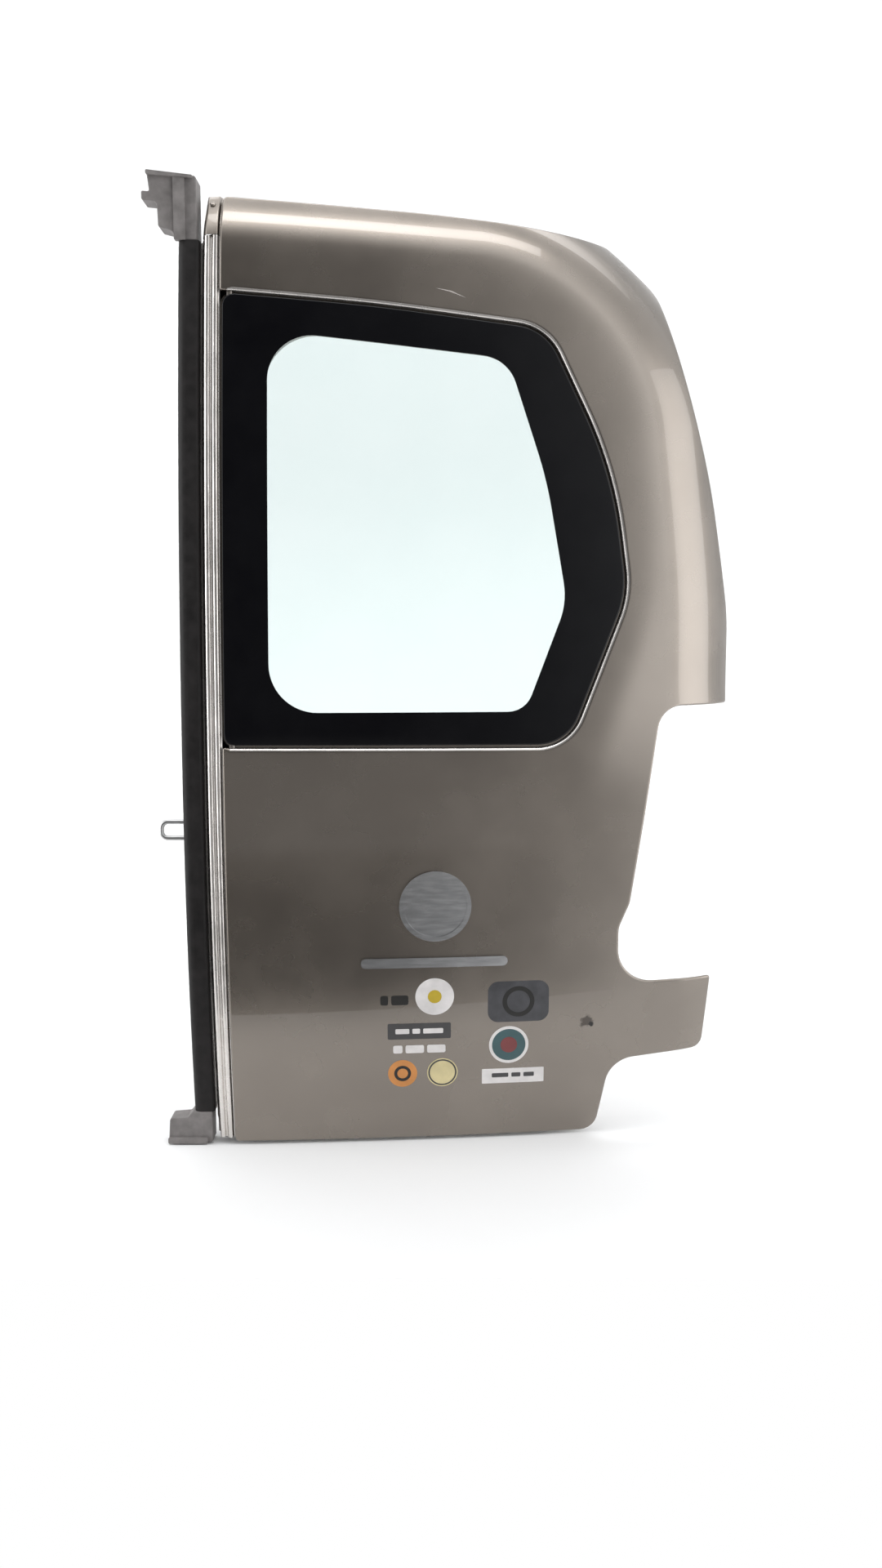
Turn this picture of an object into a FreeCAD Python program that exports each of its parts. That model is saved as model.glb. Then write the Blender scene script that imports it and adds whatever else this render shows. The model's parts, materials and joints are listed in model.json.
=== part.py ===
"""Right-hand rear door of a small van: a hemmed steel skin on a pressed inner panel, with bonded glass.

The door is drawn as it hangs on the van, seen from behind: x runs to the right, y into the van, z up.
Drawing origin: left edge of the skin, its outermost depth, bottom edge. The finished pieces are moved so
that the origin lies on the mounting face of the upper hinge plate. All sizes are in millimetres.
"""
import math
import os

import FreeCAD
import Part
from FreeCAD import Vector

# Skin surface: barrel from sill to roof, crown from side to side
DOOR_HEIGHT = 1208.0
DOOR_WIDTH = 653.0
WAIST_HEIGHT = 445.0
RADIUS_ABOVE_WAIST = 4300.0
RADIUS_BELOW_WAIST = 2450.0
CROWN_RADIUS = 4400.0
CROWN_CENTRE = -155.0

# Shoulder: the soft crease round the window, outside which the skin rolls into the roof and the side
SHOULDER_RIGHT = 560.0
SHOULDER_TOP = 1148.0
SHOULDER_TOP_SLOPE = -0.056
SHOULDER_LEAN = 0.107
SHOULDER_LEAN_FROM = 713.0
SHOULDER_CORNER_RADIUS = 190.0
SHOULDER_LOW_SHIFT = 25.0
CREASE_SLOPE = math.tan(math.radians(9.0))
CREASE_SOFTNESS = 18.0
CREASE_FADE = (420.0, 620.0)
DIAGONAL_DIRECTION = (0.93, -0.368)
ROLL_RADIUS = 122.0
ROLL_ANGLE = math.radians(64.0)

# Sheet and hem: the edge of the skin is folded round the flange of the inner panel
SHEET = 1.2
HEM_WIDTH = 12.0
FIT_GAP = 0.2
SEAT_GAP = 0.15
FLANGE_SHEET = 1.0

# Glass, its adhesive bead and the recess in the skin that carries it
GLASS_THICKNESS = 3.5
GLASS_BELOW_SKIN = 1.0
GLASS_GAP = 3.0
BOND_THICKNESS = 3.0
BOND_WIDTH = 10.0
BOND_INSET = 9.0
APERTURE_MARGIN = 2.0

# Inner panel: a pan behind the skin
PAN_DEPTH = 62.0
PAN_LEFT = -26.0
PAN_RIGHT = 462.0
PAN_BOTTOM = 16.0
PAN_TOP = 1162.0
PAN_TOP_RIGHT = 1118.0
PAN_EDGE_RADIUS = 10.0
PAN_WINDOW_MARGIN = 9.0
INNER_SEAT = PAN_DEPTH + SEAT_GAP
ACCESS_HOLE = (104.0, 84.0, 22.0)
ACCESS_PLACES = [(150.0, 180.0), (330.0, 180.0), (150.0, 380.0), (330.0, 380.0)]
PLUG_RADIUS = 11.0
PLUG_PLACES = [(205.0, 1096.0), (290.0, 1088.0), (424.0, 962.0), (434.0, 612.0)]

# Closing edge: pressed channel with two beads, and the rubber seal on its flange
CHANNEL_LAP = 9.0
CHANNEL_LAP_DEPTH = GLASS_BELOW_SKIN + GLASS_THICKNESS + 0.3
CHANNEL_FLANGE_DEPTH = 24.0
CHANNEL_FLANGE_LEFT = -46.0
CHANNEL_SEAM = 1152.0
TONGUE_LAP_DEPTH = CHANNEL_LAP_DEPTH + 0.6
SEAL_LEFT = -54.0
SEAL_RIGHT = -27.0
SEAL_FRONT = 9.0
SEAL_SLOT_GAP = 0.3
SEAL_TOP = 1148.0
CAP_HEIGHT = 40.0

# Hinge plates on the right flank of the pan
HINGE_HEIGHT = 110.0
HINGE_WIDTH = 34.0
HINGE_SHEET = 4.0
HINGE_HOLE_RADIUS = 4.5
HINGE_HOLE_PITCH = 70.0
HINGE_UPPER_Z = 760.0
HINGE_LOWER_Z = 160.0
HINGE_BEHIND_SKIN = 34.0

# Striker on the left flank
STRIKER_Z = 416.0
STRIKER_PITCH = 21.0
STRIKER_WIRE_RADIUS = 3.2
STRIKER_REACH = -86.0
STRIKER_PLATE = (56.0, 19.0, 3.0)
STRIKER_BEHIND_SKIN = 41.0

# Fittings on the inner face
TRIM_LEFT = 48.0
TRIM_RIGHT = 444.0
TRIM_BOTTOM = 34.0
TRIM_TOP = 500.0
TRIM_RISE = 13.0
TRIM_SHEET = 2.5
TRIM_CORNER = 34.0
CLIP_RADIUS = 9.0
BUFFER_RADIUS = 13.0
BUFFER_RISE = 14.0
BUFFER_PLACES = [(70.0, 1110.0), (380.0, 1080.0)]
LATCH_X = 10.0
UPPER_LATCH_Z = 1108.0
LOWER_LATCH_Z = 66.0
LATCH_BODY = (44.0, 24.0, 74.0)
BOLT_RADIUS = 7.0
BOLT_REACH = 22.0
LEVER_Z = 640.0
LEVER_BEZEL = (52.0, 8.0, 128.0)

# Badges, plain
BADGE_CENTRE = (264.0, 321.0)
BADGE_RADIUS = 46.0
BADGE_RIM = 6.0
BADGE_RISE = 3.5
STRIP_CENTRE = (263.0, 247.0)
STRIP_SIZE = (188.0, 13.0)

# Depths in front of and behind everything, for drawing outlines and cutting through
FRONT = -150.0
BACK = 420.0


def soft_positive(value, width):
    """Zero below 0 and value above it, rounded over about width."""
    return 0.5 * (value + math.sqrt(value * value + width * width))


def smooth_step(value, low, high):
    """Rise from 0 at low to 1 at high without a corner."""
    share = min(1.0, max(0.0, (value - low) / (high - low)))
    return share * share * (3.0 - 2.0 * share)


def base_depth(x, z):
    """Depth of the plain body surface, before the shoulder and the roll."""
    radius = RADIUS_ABOVE_WAIST if z > WAIST_HEIGHT else RADIUS_BELOW_WAIST
    barrel = (z - WAIST_HEIGHT) ** 2 / (2.0 * radius)
    crown = ((x - CROWN_CENTRE) ** 2 - CROWN_CENTRE ** 2) / (2.0 * CROWN_RADIUS)
    return barrel + crown


def shoulder_distance(x, z):
    """Distance outside the shoulder line, which turns from the top to the right round one corner."""
    lean = SHOULDER_LEAN * soft_positive(z - SHOULDER_LEAN_FROM, 60.0)
    low = SHOULDER_LOW_SHIFT * (1.0 - smooth_step(z, 350.0, 560.0))
    right = x - (SHOULDER_RIGHT - lean + low)
    top = z - (SHOULDER_TOP + SHOULDER_TOP_SLOPE * x)
    r = SHOULDER_CORNER_RADIUS
    if right > -r and top > -r:
        return math.hypot(right + r, top + r) - r
    return max(right, top)


def roll_depth(reach):
    """Depth of a round roll that runs on straight once it has turned through the roll angle."""
    limit = ROLL_RADIUS * math.sin(ROLL_ANGLE)
    bent = min(max(0.0, reach), limit)
    arc = ROLL_RADIUS - math.sqrt(ROLL_RADIUS ** 2 - bent ** 2)
    return arc + max(0.0, reach - limit) * math.tan(ROLL_ANGLE)


def skin_depth(x, z):
    """Depth of the outer skin: body surface, crease along the shoulder, and roll beyond it."""
    shoulder = shoulder_distance(x, z)
    across, down = DIAGONAL_DIRECTION
    diagonal = (x - SHOULDER_RIGHT) * across + (z - SHOULDER_LEAN_FROM) * down
    outside = diagonal + soft_positive(shoulder - diagonal, 30.0)
    crease = CREASE_SLOPE * soft_positive(outside, CREASE_SOFTNESS) * smooth_step(z, *CREASE_FADE)
    return base_depth(x, z) + crease + roll_depth(shoulder)


def spread(low, high, count):
    return [low + (high - low) * i / (count - 1) for i in range(count)]


def offset_face(depth, xs, zs, offset):
    """Smooth face through the surface depth(x, z), moved into the van by offset along its normal."""
    step = 0.5
    rows = []
    for x in xs:
        row = []
        for z in zs:
            slope_x = (depth(x + step, z) - depth(x - step, z)) / (2.0 * step)
            slope_z = (depth(x, z + step) - depth(x, z - step)) / (2.0 * step)
            normal = Vector(-slope_x, 1.0, -slope_z)
            normal.normalize()
            row.append(Vector(x, depth(x, z), z) + normal * offset)
        rows.append(row)
    surface = Part.BSplineSurface()
    surface.interpolate(rows)
    return surface.toShape()


def slab_between(front, back):
    """Solid between two faces with matching edges."""
    faces = [front, back]
    for first, second in zip(front.Edges, back.Edges):
        faces.append(Part.makeRuledSurface(first, second))
    shell = Part.Shell(faces)
    shell.sewShape()
    solid = Part.Solid(shell)
    if solid.Volume < 0.0:
        solid.reverse()
    return solid


SKIN_XS = spread(-60.0, 460.0, 14) + spread(482.0, 662.0, 11)
SKIN_ZS = spread(-15.0, 1020.0, 26) + spread(1045.0, 1220.0, 9)
BASE_XS = spread(-60.0, 520.0, 5)
BASE_ZS = spread(-15.0, 1220.0, 16)
FACES = {}


def skin_face(offset):
    if offset not in FACES:
        FACES[offset] = offset_face(skin_depth, SKIN_XS, SKIN_ZS, offset)
    return FACES[offset]


def skin_slab(front, back):
    """Layer of the door between two distances behind the outer skin surface."""
    return slab_between(skin_face(front), skin_face(back))


def base_slab(front, back):
    """Layer between two distances behind the plain body surface."""
    return slab_between(offset_face(base_depth, BASE_XS, BASE_ZS, front),
                        offset_face(base_depth, BASE_XS, BASE_ZS, back))


def rounded_wire(corners, place, closed=True):
    """Wire of straight lines with its corners rounded; corners are (u, v, radius), place maps to space."""
    count = len(corners)
    starts, ends, mids = [], [], []
    for i, (u, v, radius) in enumerate(corners):
        here = Vector(u, v, 0)
        before = Vector(*corners[i - 1][:2], 0) - here
        after = Vector(*corners[(i + 1) % count][:2], 0) - here
        if radius <= 0.0 or (not closed and i in (0, count - 1)):
            starts.append(here)
            ends.append(here)
            mids.append(None)
            continue
        before.normalize()
        after.normalize()
        half = before.getAngle(after) / 2.0
        cut = radius / math.tan(half)
        middle = before + after
        middle.normalize()
        starts.append(here + before * cut)
        ends.append(here + after * cut)
        mids.append(here + middle * (radius / math.sin(half) - radius))
    edges = []
    for i in range(count):
        if mids[i] is not None:
            edges.append(Part.Arc(place(starts[i]), place(mids[i]), place(ends[i])).toShape())
        following = (i + 1) % count
        if following == 0 and not closed:
            break
        if (starts[following] - ends[i]).Length > 1e-6:
            edges.append(Part.makeLine(place(ends[i]), place(starts[following])))
    return Part.Wire(edges)


def front_wire(corners):
    """Outline seen from behind the van, drawn in front of the door."""
    return rounded_wire(corners, lambda p: Vector(p.x, FRONT, p.y))


def grown(wire, distance):
    """Outline moved outward by distance, or inward when it is negative."""
    return wire.makeOffset2D(distance) if distance else wire


def prism(wire, front=FRONT, back=BACK):
    solid = Part.Face(wire).extrude(Vector(0, back - front, 0))
    solid.translate(Vector(0, front - FRONT, 0))
    return solid


def box(x0, x1, y0, y1, z0, z1):
    return Part.makeBox(x1 - x0, y1 - y0, z1 - z0, Vector(x0, y0, z0))


def edge_strip(corners, low, high, levels=24):
    """Solid of constant section that follows the left edge of the skin; corners are (x, depth, radius)."""
    wires = [rounded_wire(corners, edge_level(z)) for z in spread(low, high, levels)]
    return Part.makeLoft(wires, True, False)


def edge_level(z):
    """Placing of a section at height z behind the left edge, where depth is measured square to the skin."""
    depth = skin_depth(0.0, z)
    stretch = math.hypot(1.0, (skin_depth(0.0, z + 0.5) - skin_depth(0.0, z - 0.5)))
    return lambda p: Vector(p.x, depth + p.y * stretch, z)


def top_edge(x):
    """Height of the skin's top edge, which falls towards the right."""
    return DOOR_HEIGHT - 0.055 * x - x * x / 17000.0


DOOR_OUTLINE = front_wire([
    (0.0, 0.0, 5.0), (0.0, top_edge(0.0), 6.0), (260.0, top_edge(260.0), 1500.0),
    (488.0, top_edge(488.0), 20.0), (556.0, 1106.0, 60.0), (625.0, 860.0, 900.0),
    (DOOR_WIDTH, 690.0, 300.0), (DOOR_WIDTH, 573.0, 4.0), (555.0, 573.0, 32.0),
    (517.0, 318.0, 30.0), (503.0, 285.0, 30.0), (503.0, 210.0, 46.0), (631.0, 213.0, 4.0),
    (622.0, 113.0, 16.0), (497.0, 101.0, 40.0), (478.0, 0.0, 24.0)])

GLASS_OUTLINE = front_wire([
    (2.0, 528.0, 12.0), (3.0, 1081.0, 14.0), (190.0, 1067.0, 2500.0), (402.0, 1043.0, 62.0),
    (486.0, 868.0, 500.0), (506.0, 716.0, 120.0), (432.0, 526.0, 55.0)])

CLEAR_OUTLINE = front_wire([
    (58.0, 568.0, 60.0), (58.0, 1036.0, 55.0), (355.0, 1006.0, 48.0), (404.0, 856.0, 500.0),
    (430.0, 705.0, 90.0), (378.0, 568.0, 32.0)])

PAN_OUTLINE = front_wire([
    (PAN_LEFT, PAN_BOTTOM, 14.0), (PAN_LEFT, PAN_TOP, 14.0), (PAN_RIGHT, PAN_TOP_RIGHT, 60.0),
    (PAN_RIGHT, PAN_BOTTOM, 40.0)])


def make_outer_skin():
    """Skin with hemmed edge, the window recess stepped down from it, and the flange under the glass."""
    hem_back = SHEET + 2.0 * FIT_GAP + FLANGE_SHEET + SHEET
    hem_front = hem_back - SHEET
    floor = GLASS_BELOW_SKIN + GLASS_THICKNESS + BOND_THICKNESS
    recess = grown(GLASS_OUTLINE, GLASS_GAP)
    recess_wall = grown(GLASS_OUTLINE, GLASS_GAP + SHEET)
    skin = skin_slab(0.0, hem_back).common(prism(DOOR_OUTLINE))
    skin = skin.cut(skin_slab(SHEET, hem_front).common(prism(grown(DOOR_OUTLINE, -SHEET))))
    skin = skin.cut(skin_slab(SHEET, hem_back + SHEET).common(prism(grown(DOOR_OUTLINE, -HEM_WIDTH))))
    skin = skin.cut(prism(recess))
    cup = skin_slab(0.0, floor + SHEET).common(prism(recess_wall))
    cup = cup.cut(skin_slab(-SHEET, floor).common(prism(recess)))
    cup = cup.cut(prism(grown(CLEAR_OUTLINE, APERTURE_MARGIN)))
    return skin.fuse(cup.common(prism(DOOR_OUTLINE))).removeSplitter()


def make_glass():
    back = GLASS_BELOW_SKIN + GLASS_THICKNESS
    return skin_slab(GLASS_BELOW_SKIN, back).common(prism(GLASS_OUTLINE))


def make_bond():
    front = GLASS_BELOW_SKIN + GLASS_THICKNESS
    ring = prism(grown(GLASS_OUTLINE, -BOND_INSET)).cut(prism(grown(GLASS_OUTLINE, -BOND_INSET - BOND_WIDTH)))
    return skin_slab(front + SEAT_GAP, front + BOND_THICKNESS - SEAT_GAP).common(ring)


def rear_rounded(block, front, back, radius):
    """The block between two depths behind the body surface, with the edges of its rear face rounded."""
    solid = base_slab(front, back).common(block)
    rear = max(solid.Faces, key=lambda face: face.CenterOfMass.y)
    return solid.makeFillet(radius, rear.Edges)


def dish(outline, front, back, radius):
    """Fitting of the given outline with a rounded rear."""
    return rear_rounded(prism(outline), front, back, radius)


def rectangle(x, z, width, height, radius):
    """Rounded rectangle seen from behind the van, centred on x and z."""
    left, right = x - width / 2.0, x + width / 2.0
    low, high = z - height / 2.0, z + height / 2.0
    return front_wire([(left, low, radius), (left, high, radius), (right, high, radius), (right, low, radius)])


def disc(x, z, radius):
    return Part.Wire(Part.makeCircle(radius, Vector(x, FRONT, z), Vector(0, 1, 0)))


def hinge_holes(z, length):
    """Pair of bolt holes through the right flank of the pan."""
    y = hinge_depth(z)
    holes = []
    for side in (-0.5, 0.5):
        start = Vector(PAN_RIGHT - length, y, z + side * HINGE_HOLE_PITCH)
        holes.append(Part.makeCylinder(HINGE_HOLE_RADIUS, 2.0 * length, start, Vector(1, 0, 0)))
    return holes


def hinge_depth(z):
    return base_depth(PAN_RIGHT, z) + HINGE_BEHIND_SKIN


def make_inner_panel():
    """Pan with rounded edges, hollow towards the skin, with its flange reaching into the hem."""
    flange_front = SHEET + FIT_GAP
    flange_back = flange_front + FLANGE_SHEET
    window = grown(CLEAR_OUTLINE, PAN_WINDOW_MARGIN)
    outer = prism(PAN_OUTLINE).cut(prism(window))
    inner = prism(grown(PAN_OUTLINE, -SHEET)).cut(prism(grown(window, SHEET)))
    ahead = -60.0
    pan = rear_rounded(outer, ahead, PAN_DEPTH, PAN_EDGE_RADIUS)
    pan = pan.cut(rear_rounded(inner, ahead, PAN_DEPTH - SHEET, PAN_EDGE_RADIUS - SHEET))
    pan = pan.common(skin_face(flange_front).extrude(Vector(0, BACK, 0)))
    flange = skin_slab(flange_front, flange_back).common(prism(grown(DOOR_OUTLINE, -SHEET - FIT_GAP)))
    flange = flange.cut(prism(grown(PAN_OUTLINE, -SHEET)))
    panel = pan.fuse(flange)
    floor = GLASS_BELOW_SKIN + GLASS_THICKNESS + BOND_THICKNESS + SHEET + FIT_GAP
    recess = prism(grown(GLASS_OUTLINE, GLASS_GAP + SHEET + FIT_GAP))
    panel = panel.cut(skin_face(floor).extrude(Vector(0, FRONT, 0)).common(recess))
    lap = CHANNEL_LAP + 1.0
    behind_lap = TONGUE_LAP_DEPTH + SHEET + FIT_GAP
    behind_flange = CHANNEL_FLANGE_DEPTH + SHEET + FIT_GAP
    panel = panel.cut(edge_strip([(-80.0, -40.0, 0.0), (lap, -40.0, 0.0), (lap, behind_lap, 0.0),
                                  (2.0, behind_lap, 0.0), (2.0, behind_flange, 0.0),
                                  (-80.0, behind_flange, 0.0)], -12.0, DOOR_HEIGHT + 10.0))
    for z in (HINGE_UPPER_Z, HINGE_LOWER_Z):
        panel = panel.cut(hinge_holes(z, 20.0))
    tools = [prism(rectangle(x, z, *ACCESS_HOLE)) for x, z in ACCESS_PLACES]
    tools += [prism(disc(x, z, PLUG_RADIUS - 3.0)) for x, z in PLUG_PLACES]
    return panel.cut(tools)


def channel_section(lap_depth, beads):
    """Section of the closing edge: lap behind the hem, the given beads, wall and seal flange."""
    line = [(CHANNEL_LAP, lap_depth, 0.0), (-1.8, lap_depth, 1.0)] + beads
    line += [(-23.0, CHANNEL_FLANGE_DEPTH, 3.0), (CHANNEL_FLANGE_LEFT, CHANNEL_FLANGE_DEPTH, 0.0)]
    return line


def sheet_section(line):
    """Closed section of a sheet of one thickness whose front side runs along the line from right to left."""
    points = [Vector(x, depth, 0) for x, depth, _ in line]
    along = []
    for start, end in zip(points, points[1:]):
        direction = end - start
        direction.normalize()
        along.append(direction)
    along = along[:1] + along + along[-1:]
    back = []
    for point, (_, _, radius), before, after in zip(points, line, along, along[1:]):
        normal = Vector(before.y + after.y, -before.x - after.x, 0)
        moved = point + normal * (SHEET / (1.0 + before.dot(after)))
        if radius:
            radius += math.copysign(SHEET, before.cross(after).z)
        back.append((moved.x, moved.y, radius))
    return line + back[::-1]


def make_edge_channel():
    """Channel with two beads; its lap stops short of the window recess and its flange of the seal's ends."""
    beads = [(-3.4, 0.3, 1.8), (-8.0, 0.3, 2.6), (-10.8, 7.0, 1.6), (-13.6, 2.2, 2.0), (-19.0, 2.2, 3.6)]
    channel = edge_strip(sheet_section(channel_section(CHANNEL_LAP_DEPTH, beads)), 6.0, CHANNEL_SEAM - 0.5)
    for low, high in ((0.0, CAP_HEIGHT), (SEAL_TOP, DOOR_HEIGHT)):
        channel = channel.cut(box(-80.0, -25.0, FRONT, BACK, low, high))
    recess = grown(GLASS_OUTLINE, GLASS_GAP + SHEET + FIT_GAP).BoundBox
    return channel.cut(box(-FIT_GAP, CHANNEL_LAP + 1.0, FRONT, BACK, recess.ZMin, recess.ZMax))


def make_edge_tongue():
    beads = [(-3.4, 0.3, 1.8), (-19.0, 2.2, 3.6)]
    section = sheet_section(channel_section(TONGUE_LAP_DEPTH, beads))
    tongue = edge_strip(section, CHANNEL_SEAM + 0.5, DOOR_HEIGHT - 2.0)
    return tongue.cut(box(-80.0, -25.0, FRONT, BACK, SEAL_TOP, DOOR_HEIGHT))


def make_seal():
    slot_front = CHANNEL_FLANGE_DEPTH - SEAL_SLOT_GAP
    slot_back = CHANNEL_FLANGE_DEPTH + SHEET + SEAL_SLOT_GAP
    slot_end = CHANNEL_FLANGE_LEFT - SEAL_SLOT_GAP
    return edge_strip([(SEAL_RIGHT, SEAL_FRONT + 2.0, 4.0), (SEAL_LEFT, SEAL_FRONT, 10.0),
                       (SEAL_LEFT, 30.5, 7.0), (SEAL_RIGHT, 30.5, 2.0), (SEAL_RIGHT, slot_back, 0.0),
                       (slot_end, slot_back, 0.0), (slot_end, slot_front, 0.0),
                       (SEAL_RIGHT, slot_front, 0.0)], CAP_HEIGHT, SEAL_TOP)


def cap(corners, front, back, radius):
    """Moulded end of the seal: flat block with its front outline rounded."""
    solid = prism(front_wire(corners), front, back)
    face = min(solid.Faces, key=lambda side: side.CenterOfMass.y)
    return solid.makeFillet(radius, face.Edges)


def make_seal_top_end():
    """T-shaped end with a lip along its top, a hook at the left and the bulb running up over its face."""
    y = skin_depth(0.0, SEAL_TOP) + SEAL_FRONT
    left, top = -91.0, 1230.0
    block = cap([(-30.0, SEAL_TOP, 2.0), (-30.0, top - 6.0, 4.0), (left, top, 3.0),
                 (left + 3.0, top - 24.0, 2.0), (left - 7.0, top - 23.0, 2.0), (left - 7.0, top - 34.0, 3.0),
                 (left + 12.0, top - 36.0, 5.0), (left + 13.0, top - 66.0, 4.0),
                 (left + 29.0, top - 70.0, 10.0), (SEAL_LEFT, SEAL_TOP, 3.0)], y + 3.0, y + 34.0, 1.6)
    lip = prism(front_wire([(-34.0, top - 10.0, 1.5), (-34.0, top - 6.5, 1.0), (left, top, 1.5),
                            (left, top - 5.0, 1.5)]), y - 2.0, y + 8.0)
    bulb = prism(front_wire([(-58.0, SEAL_TOP, 1.0), (-58.0, top - 8.0, 1.0), (-44.0, top - 8.0, 1.0),
                             (-44.0, SEAL_TOP, 1.0)]), y - 1.0, y + 8.0)
    return block.fuse([lip, bulb]).removeSplitter()


def make_seal_bottom_end():
    """Moulded foot with a step at its left end."""
    y = skin_depth(0.0, CAP_HEIGHT) + SEAL_FRONT
    foot = cap([(-30.0, -2.0, 3.0), (-30.0, CAP_HEIGHT, 2.0), (-56.0, CAP_HEIGHT, 2.0), (-62.0, 33.0, 3.0),
                (-86.0, 31.0, 4.0), (-88.0, -2.0, 5.0)], y, y + 28.0, 1.6)
    lip = prism(front_wire([(-36.0, -2.0, 2.0), (-36.0, 6.0, 2.0), (-88.0, 6.0, 2.0), (-88.0, -2.0, 2.0)]),
                y - 4.0, y + 8.0)
    return foot.fuse(lip).removeSplitter()


def make_striker_plate():
    height, width, thick = STRIKER_PLATE
    y = base_depth(PAN_LEFT, STRIKER_Z) + STRIKER_BEHIND_SKIN
    plate = box(PAN_LEFT - thick, PAN_LEFT, y - width / 2.0, y + width / 2.0,
                STRIKER_Z - height / 2.0, STRIKER_Z + height / 2.0)
    upright = [edge for edge in plate.Edges if abs(edge.tangentAt(edge.FirstParameter).x) > 0.9]
    return plate.makeFillet(5.0, upright)


def make_striker_loop():
    y = base_depth(PAN_LEFT, STRIKER_Z) + STRIKER_BEHIND_SKIN
    root = PAN_LEFT - STRIKER_PLATE[2]
    low, high = STRIKER_Z - STRIKER_PITCH / 2.0, STRIKER_Z + STRIKER_PITCH / 2.0
    path = rounded_wire([(root, low, 0.0), (STRIKER_REACH, low, 8.0), (STRIKER_REACH, high, 8.0),
                         (root, high, 0.0)], lambda p: Vector(p.x, y, p.y), closed=False)
    ring = Part.Wire(Part.makeCircle(STRIKER_WIRE_RADIUS, Vector(root, y, low), Vector(1, 0, 0)))
    return path.makePipeShell([ring], True, True)


def make_hinge_plate(z):
    y = hinge_depth(z)
    plate = box(PAN_RIGHT, PAN_RIGHT + HINGE_SHEET, y - HINGE_WIDTH / 2.0, y + HINGE_WIDTH / 2.0,
                z - HINGE_HEIGHT / 2.0, z + HINGE_HEIGHT / 2.0)
    upright = [edge for edge in plate.Edges if abs(edge.tangentAt(edge.FirstParameter).x) > 0.9]
    return plate.makeFillet(8.0, upright).cut(hinge_holes(z, 20.0))


def trim_outline():
    return rectangle((TRIM_LEFT + TRIM_RIGHT) / 2.0, (TRIM_BOTTOM + TRIM_TOP) / 2.0,
                     TRIM_RIGHT - TRIM_LEFT, TRIM_TOP - TRIM_BOTTOM, TRIM_CORNER)


def make_trim_panel():
    """Shallow moulded tray on the inner face, open towards the panel."""
    shell = dish(trim_outline(), INNER_SEAT, PAN_DEPTH + TRIM_RISE, 5.0)
    hollow = base_slab(PAN_DEPTH - 5.0, PAN_DEPTH + TRIM_RISE - TRIM_SHEET)
    return shell.cut(hollow.common(prism(grown(trim_outline(), -TRIM_SHEET))))


def clip_places():
    xs = spread(TRIM_LEFT + 28.0, TRIM_RIGHT - 28.0, 3)
    return [(x, z) for z in (TRIM_BOTTOM + 28.0, TRIM_TOP - 28.0) for x in xs]


def make_trim_clips():
    back = PAN_DEPTH + TRIM_RISE + SEAT_GAP
    return Part.makeCompound([dish(disc(x, z, CLIP_RADIUS), back, back + 3.0, 2.0) for x, z in clip_places()])


def latch_axis(z, up):
    """Point on the bolt's axis at height z, and the direction in which the bolt leaves the latch."""
    slope = (base_depth(LATCH_X, z + 1.0) - base_depth(LATCH_X, z - 1.0)) / 2.0
    direction = Vector(0, slope, 1) * (1.0 if up else -1.0)
    direction.normalize()
    return Vector(LATCH_X, base_depth(LATCH_X, z) + PAN_DEPTH + LATCH_BODY[1] / 2.0, z), direction


def make_latch_body(z, up):
    width, depth, height = LATCH_BODY
    body = dish(rectangle(LATCH_X, z, width, height, 6.0), INNER_SEAT, PAN_DEPTH + depth, 4.0)
    point, direction = latch_axis(z, up)
    return body.cut(Part.makeCylinder(BOLT_RADIUS + FIT_GAP, height, point, direction))


def make_latch_bolt(z, up):
    point, direction = latch_axis(z, up)
    bolt = Part.makeCylinder(BOLT_RADIUS, LATCH_BODY[2] / 2.0 + BOLT_REACH, point, direction)
    tip = max(bolt.Faces, key=lambda face: face.CenterOfMass.dot(direction))
    return bolt.makeFillet(BOLT_RADIUS * 0.6, tip.Edges)


def make_lever_bezel():
    width, rise, height = LEVER_BEZEL
    bezel = dish(rectangle(LATCH_X, LEVER_Z, width, height, 12.0), INNER_SEAT, PAN_DEPTH + rise, 3.0)
    pocket = rectangle(LATCH_X, LEVER_Z, width - 16.0, height - 16.0, 8.0)
    return bezel.cut(base_slab(PAN_DEPTH + 2.5, PAN_DEPTH + rise + 5.0).common(prism(pocket)))


def make_release_lever():
    width, rise, height = LEVER_BEZEL
    return dish(rectangle(LATCH_X, LEVER_Z, width - 20.0, height - 20.0, 7.0),
                PAN_DEPTH + 2.5 + SEAT_GAP, PAN_DEPTH + rise + 6.0, 5.0)


def make_plugs():
    return Part.makeCompound([dish(disc(x, z, PLUG_RADIUS), INNER_SEAT, PAN_DEPTH + 3.0, 2.0)
                              for x, z in PLUG_PLACES])


def make_buffers():
    return Part.makeCompound([dish(disc(x, z, BUFFER_RADIUS), INNER_SEAT, PAN_DEPTH + BUFFER_RISE, 4.0)
                              for x, z in BUFFER_PLACES])


def make_badge_disc():
    """Plain round badge with a raised rim, following the skin."""
    disc_wire = disc(*BADGE_CENTRE, BADGE_RADIUS)
    badge = skin_slab(-BADGE_RISE, -SEAT_GAP).common(prism(disc_wire))
    well = skin_slab(-2.0 * BADGE_RISE, -BADGE_RISE * 0.6).common(prism(grown(disc_wire, -BADGE_RIM)))
    return badge.cut(well)


def make_badge_strip():
    width, height = STRIP_SIZE
    strip = prism(rectangle(*STRIP_CENTRE, width, height, height * 0.48))
    return skin_slab(-BADGE_RISE, -SEAT_GAP).common(strip)


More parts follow.
